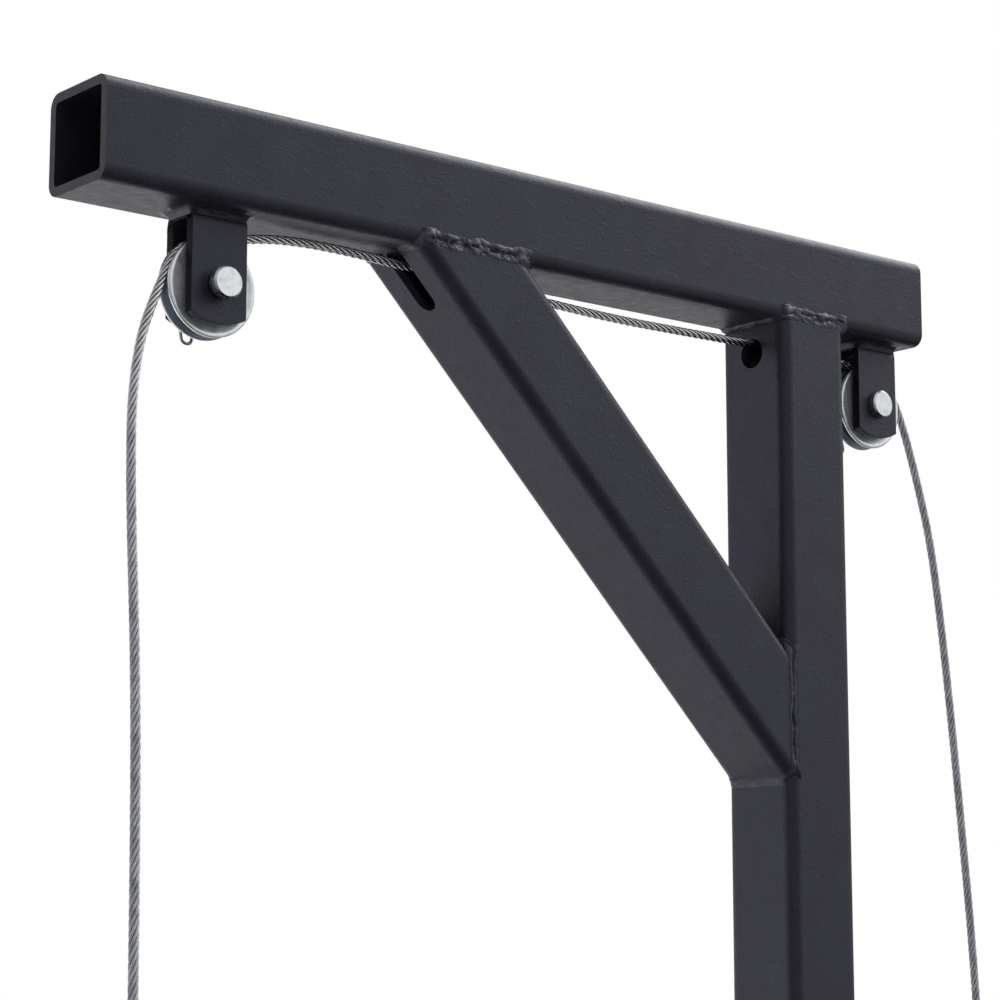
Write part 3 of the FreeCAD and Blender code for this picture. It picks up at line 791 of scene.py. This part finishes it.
def make_welds(material):
    """The three welds round the frame's joints, and those round the two brackets' straps."""
    sloped = 2 ** 0.5               # the brace is cut at 45 degrees, so its ends are longer
    square = rounded_outline(TUBE_HALF, TUBE_HALF, TUBE_CORNER, TUBE_CORNER)
    oblong = rounded_outline(TUBE_HALF * sloped, TUBE_HALF, TUBE_CORNER * sloped, TUBE_CORNER)
    strap = rounded_outline(15.9 * MM, 11.1 * MM, 2.5 * MM, 2.5 * MM)
    beam_size = (8.6 * MM, 5 * MM, 2.2 * MM)
    post_size = (6.2 * MM, 5.2 * MM, 1.2 * MM)
    strap_size = (0, 6.6 * MM, 4.4 * MM)

    run = weld_run(square, ON_BEAM, beam_size, crown=0.5 * MM, rough=1.35, seed=3.1)
    add_weld("beam_post_weld_bead", [run], material, "beam_post_weld")

    low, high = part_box("beam_brace_weld")
    ends = moved(oblong, (low.x + high.x) / 2)
    runs = []
    for sign in (1, -1):
        half = [spot for spot in ends if spot[1] * sign > 8 * MM]
        runs.append(weld_run(half, ON_BEAM, beam_size, crown=0.5 * MM, rough=1.7,
                             seed=7.7 + sign, slope=1, open_ends=True))
    add_weld("beam_brace_weld_bead", runs, material, "beam_brace_weld")

    low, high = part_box("brace_post_weld")
    run = weld_run(moved(oblong, (low.z + high.z) / 2), ON_POST, post_size, crown=0.4 * MM,
                   rough=1.25, seed=12.4, slope=1)
    add_weld("brace_post_weld_bead", [run], material, "brace_post_weld")

    for side, centre in SHEAVE.items():
        run = weld_run(moved(strap, centre.x), ON_BEAM, strap_size, crown=-1.7 * MM, rough=0.3,
                       seed=20 + centre.x * 10, flush=False)
        add_weld(side + "_bracket_weld_bead", [run], material, side + "_bracket_weld")


# ---- sheaves, clips, springs ------------------------------------------------------
def sheave_profile():
    """(radius, y) of half the sheave's section, from the bush's bore out to the groove."""
    half = [(8.5, 5.6), (11.3, 5.6), (11.9, 5.4), (12.4, 5.0), (13.2, 4.65), (14.5, 4.5),
            (17.0, 4.5), (19.0, 4.55), (20.6, 4.7), (21.8, 4.95), (22.7, 5.15), (23.4, 5.22),
            (24.0, 5.15), (24.4, 4.9), (24.6, 4.45), (24.58, 3.7), (24.3, 3.2), (23.6, 2.9),
            (22.9, 2.7)]
    groove = []
    for degrees in range(-80, 81, 10):
        t = math.radians(degrees)
        groove.append((23.0 - 2.6 * math.cos(t), -2.6 * math.sin(t)))
    back = [(r, -y) for r, y in reversed(half)]
    return [(r * MM, y * MM) for r, y in half + groove + back]


def make_sheaves():
    for side, centre in SHEAVE.items():
        obj = lathe(side + "_sheave_turned", sheave_profile(), centre,
                    turned_zinc(side + "_sheave_zinc", centre), segments=160)
        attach(obj, side + "_sheave")
        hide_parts(side + "_sheave")


def wire(name, points, radius, material, sides=16):
    """Plain round wire along the points."""
    rings = []
    for point, (normal, binormal) in zip(points, frames_along(points)):
        rings.append([point + (normal * math.cos(t) + binormal * math.sin(t)) * radius
                      for t in (2 * math.pi * k / sides for k in range(sides))])
    verts, faces = loft(rings)
    return outward(add_mesh(name, verts, faces, material))


CLIP_WIRE_R = 0.8 * MM
# Bend points from the pin's centre, as (x, z) in millimetres.
CLIP_BENDS = [(0, 12.5), (0, 4), (0, -8), (0, -15), (0.9, -18.2), (2.0, -21.2), (1.4, -24.0),
              (-1.2, -24.6), (-3.8, -23.6), (-4.4, -20.6), (-4.9, -16), (-6.9, -10.5),
              (-7.3, -5), (-7.3, 0), (-7.1, 4), (-4.6, 7.2), (-2.8, 9.8), (-4.0, 12.2),
              (-4.9, 13.5)]


def make_clips(material):
    """Hairpin clips: a straight leg through the pin, an eye below and a sprung leg."""
    for side, centre in SHEAVE.items():
        low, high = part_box(side + "_pin_clip")
        y = (low.y + high.y) / 2
        route = [(centre.x + dx * MM, y, centre.z + dz * MM) for dx, dz in CLIP_BENDS]
        points, _ = even_steps(spline_points(route), 0.6 * MM)
        obj = wire(side + "_hairpin_clip", points, CLIP_WIRE_R, material)
        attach(obj, "frame")
        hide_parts(side + "_pin_clip")


COIL_R = 1.2 * MM
COIL_WIRE_R = 0.28 * MM
COIL_TURNS = 11
COIL_POINTS = 20                # in each turn


def make_spring(material):
    """The gate's closing spring, a real coil where the CAD has rings."""
    low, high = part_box("snap_gate_spring")
    x = (low.x + high.x) / 2
    reach = COIL_R + 0.3 * MM
    start = Vector((x, high.y - reach, low.z))
    end = Vector((x, low.y + reach, high.z))
    across = Vector((1, 0, 0))
    other = (end - start).normalized().cross(across)
    points = []
    for i in range(COIL_TURNS * COIL_POINTS + 1):
        angle = 2 * math.pi * i / COIL_POINTS
        centre = start.lerp(end, i / (COIL_TURNS * COIL_POINTS))
        points.append(centre + (across * math.cos(angle) + other * math.sin(angle)) * COIL_R)
    obj = wire("snap_gate_coil", points, COIL_WIRE_R, material, sides=8)
    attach(obj, "snap_gate")
    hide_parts("snap_gate_spring")


SEAM_Y = -1.5 * MM
SEAM_HALF = 1.3 * MM            # half its width
SEAM_SUNK = 0.2 * MM            # how far it reaches into the wall
SEAM_INSET = 0.3 * MM           # how far it stays back from the tube's ends
SEAM_STEPS = 120


def make_seam(material):
    """The beam's inner weld seam, which shows at its open ends."""
    start, end = BEAM_LOW.x + SEAM_INSET, BEAM_HIGH.x - SEAM_INSET
    z = UNDERSIDE + WALL - SEAM_SUNK
    rings = []
    for i in range(SEAM_STEPS + 1):
        x = start + (end - start) * i / SEAM_STEPS
        height = (0.55 + 0.15 * noise.noise(Vector((x * 120, 4.2, 0)))) * MM
        ring = []
        for k in range(9):
            t = math.pi * k / 8
            ring.append(Vector((x, SEAM_Y + SEAM_HALF * math.cos(t),
                                z + (height + SEAM_SUNK) * math.sin(t))))
        rings.append(ring)
    verts, faces = loft(rings)
    # It stores no crowns, so the weld coat gives it, all over, the painted-shade colour of a
    # weld's hollows.
    obj = outward(add_mesh("beam_inner_seam", verts, faces, material))
    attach(obj, "frame")


# ---- carried-over CAD nodes -------------------------------------------------------
def soften(obj, width):
    """Small rounded edges, as paint and tumbling leave them."""
    weld = obj.modifiers.new("weld", "WELD")
    weld.merge_threshold = 1e-6
    edges = obj.modifiers.new("edges", "BEVEL")
    edges.width = width
    edges.segments = 2
    edges.limit_method = "ANGLE"
    edges.angle_limit = math.radians(35)
    edges.use_clamp_overlap = True


def finish_nodes(named):
    """Gives CAD pieces their materials."""
    for node, material in named.items():
        obj = nodes[node]
        obj.data.materials.clear()
        obj.data.materials.append(material)


# ---- studio -----------------------------------------------------------------------
# Soft lights round the object: (where from, how wide in degrees, how bright).
SOFT_LIGHTS = [
    ((-0.77, 0.64, 0.0), 52, 1.0),      # wide wall on the left
    ((-0.54, 0.45, -0.7), 52, 0.35),    # its reflection below
    ((-0.1, 0.8, -0.6), 52, 0.6),       # low behind
    ((0.64, 0.77, 0.0), 52, 0.8),       # behind
    ((0.77, -0.64, 0.0), 52, 0.55),     # wall on the right
    ((0.54, -0.45, 0.7), 52, 0.55),     # high on the right
    ((0.1, -0.8, 0.6), 52, 0.25),       # high in front
    ((-0.45, -0.55, 0.7), 52, 0.34),    # over the camera
    ((-0.64, -0.77, 0.0), 52, 0.25),    # round the camera
    ((0.71, 0.03, 0.70), 34, 3.3),      # overhead box that draws the top edges
]
LIGHT_CORE = 12                 # degrees from a light's middle that it stays at its brightest


def soft_light(tree, direction, where, width, strength):
    """Strength seen in a direction: full round where, fading to none at width degrees away."""
    facing = tree.nodes.new("ShaderNodeVectorMath")
    facing.operation = "DOT_PRODUCT"
    facing.inputs[1].default_value = Vector(where).normalized()
    tree.links.new(direction, facing.inputs[0])
    lobe = tree.nodes.new("ShaderNodeMapRange")
    lobe.interpolation_type = "SMOOTHSTEP"
    lobe.inputs["From Min"].default_value = math.cos(math.radians(width))
    lobe.inputs["From Max"].default_value = math.cos(math.radians(LIGHT_CORE))
    lobe.inputs["To Max"].default_value = strength
    tree.links.new(facing.outputs["Value"], lobe.inputs["Value"])
    return lobe.outputs["Result"]


def make_world():
    """White backdrop for the camera; soft lights of unlike strength for everything else."""
    world = bpy.data.worlds.new("studio")
    bpy.context.scene.world = world
    world.use_nodes = True
    tree = world.node_tree
    tree.nodes.clear()
    place = tree.nodes.new("ShaderNodeTexCoord")
    lights = [soft_light(tree, place.outputs["Generated"], *light) for light in SOFT_LIGHTS]
    total = lights[0]
    for light in lights[1:]:
        add = tree.nodes.new("ShaderNodeMath")
        add.operation = "ADD"
        tree.links.new(total, add.inputs[0])
        tree.links.new(light, add.inputs[1])
        total = add.outputs["Value"]
    lighting = tree.nodes.new("ShaderNodeBackground")
    lighting.inputs["Color"].default_value = (0.97, 0.985, 1.0, 1)
    tree.links.new(total, lighting.inputs["Strength"])
    backdrop = tree.nodes.new("ShaderNodeBackground")
    backdrop.inputs["Color"].default_value = (1, 1, 1, 1)
    backdrop.inputs["Strength"].default_value = 1.0
    path = tree.nodes.new("ShaderNodeLightPath")
    mix = tree.nodes.new("ShaderNodeMixShader")
    output = tree.nodes.new("ShaderNodeOutputWorld")
    tree.links.new(path.outputs["Is Camera Ray"], mix.inputs["Fac"])
    tree.links.new(lighting.outputs["Background"], mix.inputs[1])
    tree.links.new(backdrop.outputs["Background"], mix.inputs[2])
    tree.links.new(mix.outputs["Shader"], output.inputs["Surface"])
    bpy.context.scene.view_settings.view_transform = "Standard"


def make_floor():
    """Plain pale floor, well below the object."""
    z = cad_box[0].z - 0.30
    reach, sides = 12.0, 96
    verts = [(reach * math.cos(t), reach * math.sin(t), z)
             for t in (2 * math.pi * k / sides for k in range(sides))]
    material, tree, shader = new_material("floor", (0.80, 0.80, 0.80), 0, 0.9)
    tree.links.new(ramp(tree, object_noise(tree, 3), 0.79, 0.81), shader.inputs["Base Color"])
    floor = add_mesh("floor", verts, [tuple(range(sides))], material, smooth=False)
    floor.visible_glossy = False


# ---- build ------------------------------------------------------------------------
# Heights below and above which a drop's wire is fully darkened and dulled, and fully bright:
# painted shade below, painted light above.
LEFT_PAINTED_LIGHT_HEIGHTS = (0.30, 0.405)
RIGHT_PAINTED_LIGHT_HEIGHTS = (0.385, 0.415)


def make_ropes():
    """All three stretches of the rope, with the fittings at its two ends."""
    strands = rope_wire("galvanised_wire", *LEFT_PAINTED_LIGHT_HEIGHTS)
    shaded_strands = rope_wire("galvanised_wire_shaded", *RIGHT_PAINTED_LIGHT_HEIGHTS)
    zinc_strip = zinc("thimble_zinc", (0.70, 0.72, 0.74), 0.30)
    sleeve = simple_metal("pressed_aluminium", (0.72, 0.73, 0.74), 0.36)
    ends = {}
    for side, route in (("left", LEFT_DROP), ("right", RIGHT_DROP)):
        end = route[-1]
        ends[side] = [*make_eye(side, end, strands), make_ferrule(side, end, sleeve),
                      make_thimble(side, end, zinc_strip)]
    phase = make_rope("rope_span_strands", "rope_span", SPAN, strands, far_end="object",
                      lay="taut")
    make_rope("rope_left_strands", "rope_left_drop", LEFT_DROP, strands, far_end="fitting",
              lay="hanging", with_pieces=ends["left"])
    make_rope("rope_right_strands", "rope_right_drop", RIGHT_DROP, shaded_strands, phase=phase,
              far_end="fitting", lay="hanging", with_pieces=ends["right"])


def main():
    make_camera()
    make_ropes()
    coat = powder_coat("charcoal_powder_coat")
    beam_coat = powder_coat("charcoal_powder_coat_drawn", texture=0.9, grain=(0.35, 1, 1))
    shaded_bar_coat = shaded_bracket_coat("charcoal_powder_coat_bar")
    weld_coat = weld_paint("painted_weld_coat")
    pin_zinc = zinc("pin_zinc", (0.80, 0.815, 0.83), 0.30)
    hook_steel = zinc("hook_zinc", (0.64, 0.66, 0.68), 0.30)
    bronze = simple_metal("oiled_bronze", (0.50, 0.34, 0.18), 0.35)
    spring_steel = simple_metal("spring_steel", (0.36, 0.37, 0.39), 0.32)
    make_welds(weld_coat)
    make_sheaves()
    make_clips(zinc("clip_wire", (0.50, 0.50, 0.50), 0.25))
    make_spring(spring_steel)
    make_seam(weld_coat)
    finish_nodes({
        "beam_tube": beam_coat, "post_tube": coat, "brace_tube": coat,
        "left_bracket": shaded_bar_coat, "right_bracket": shaded_bar_coat,
        "left_clevis_pin": pin_zinc, "right_clevis_pin": pin_zinc,
        "left_pin_washer": pin_zinc, "right_pin_washer": pin_zinc,
        "left_sheave_bush": bronze, "right_sheave_bush": bronze,
        "snap_hook_body": hook_steel, "snap_gate": hook_steel, "snap_gate_pin": pin_zinc})
    for node in ("left_bracket", "right_bracket"):
        soften(nodes[node], 0.5 * MM)
    make_world()
    make_floor()


main()
